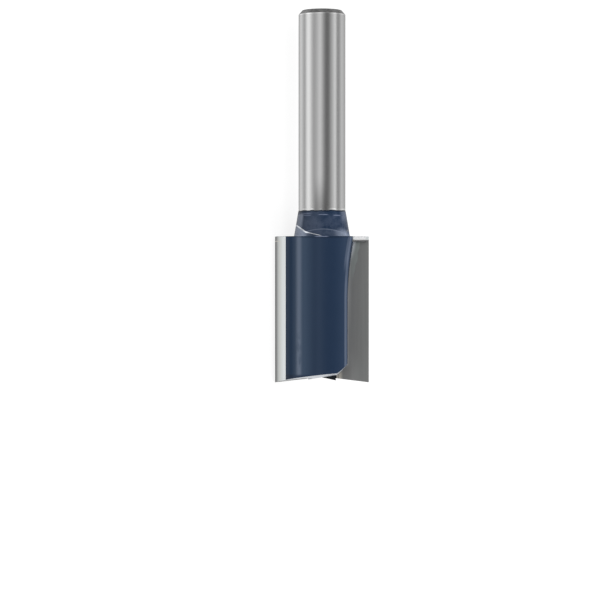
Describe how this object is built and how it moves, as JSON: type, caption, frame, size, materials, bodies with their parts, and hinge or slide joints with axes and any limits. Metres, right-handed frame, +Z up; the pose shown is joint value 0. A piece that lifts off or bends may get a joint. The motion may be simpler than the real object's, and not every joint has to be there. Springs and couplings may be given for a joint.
{
  "type": "router bit",
  "caption": "Straight plunge router bit with carbide cutting edges brazed into a fluted steel head on a plain round shank.",
  "frame": {"origin": "middle of the bounding box in plan, on the surface that the bit lies on", "axes": "the bit lies on its side: -X along the shank towards its free end, +X towards the cutting end, +Z up"},
  "size_m": [0.0502, 0.0114, 0.0112],
  "materials": {
    "body_steel": "ground bright steel shank; dark blue paint on the neck and head, ground off behind the cutting edges and on the end",
    "carbide": "finely ground tungsten carbide, dull dark grey",
    "braze": "pale yellow silver brazing alloy, cut flush with the ground faces"
  },
  "bodies": {
    "root": {"bit_body": "body_steel", "carbide_tip_front": "carbide", "carbide_tip_back": "carbide", "braze_seam_front": "braze", "braze_seam_back": "braze"}
  },
  "joints": []
}
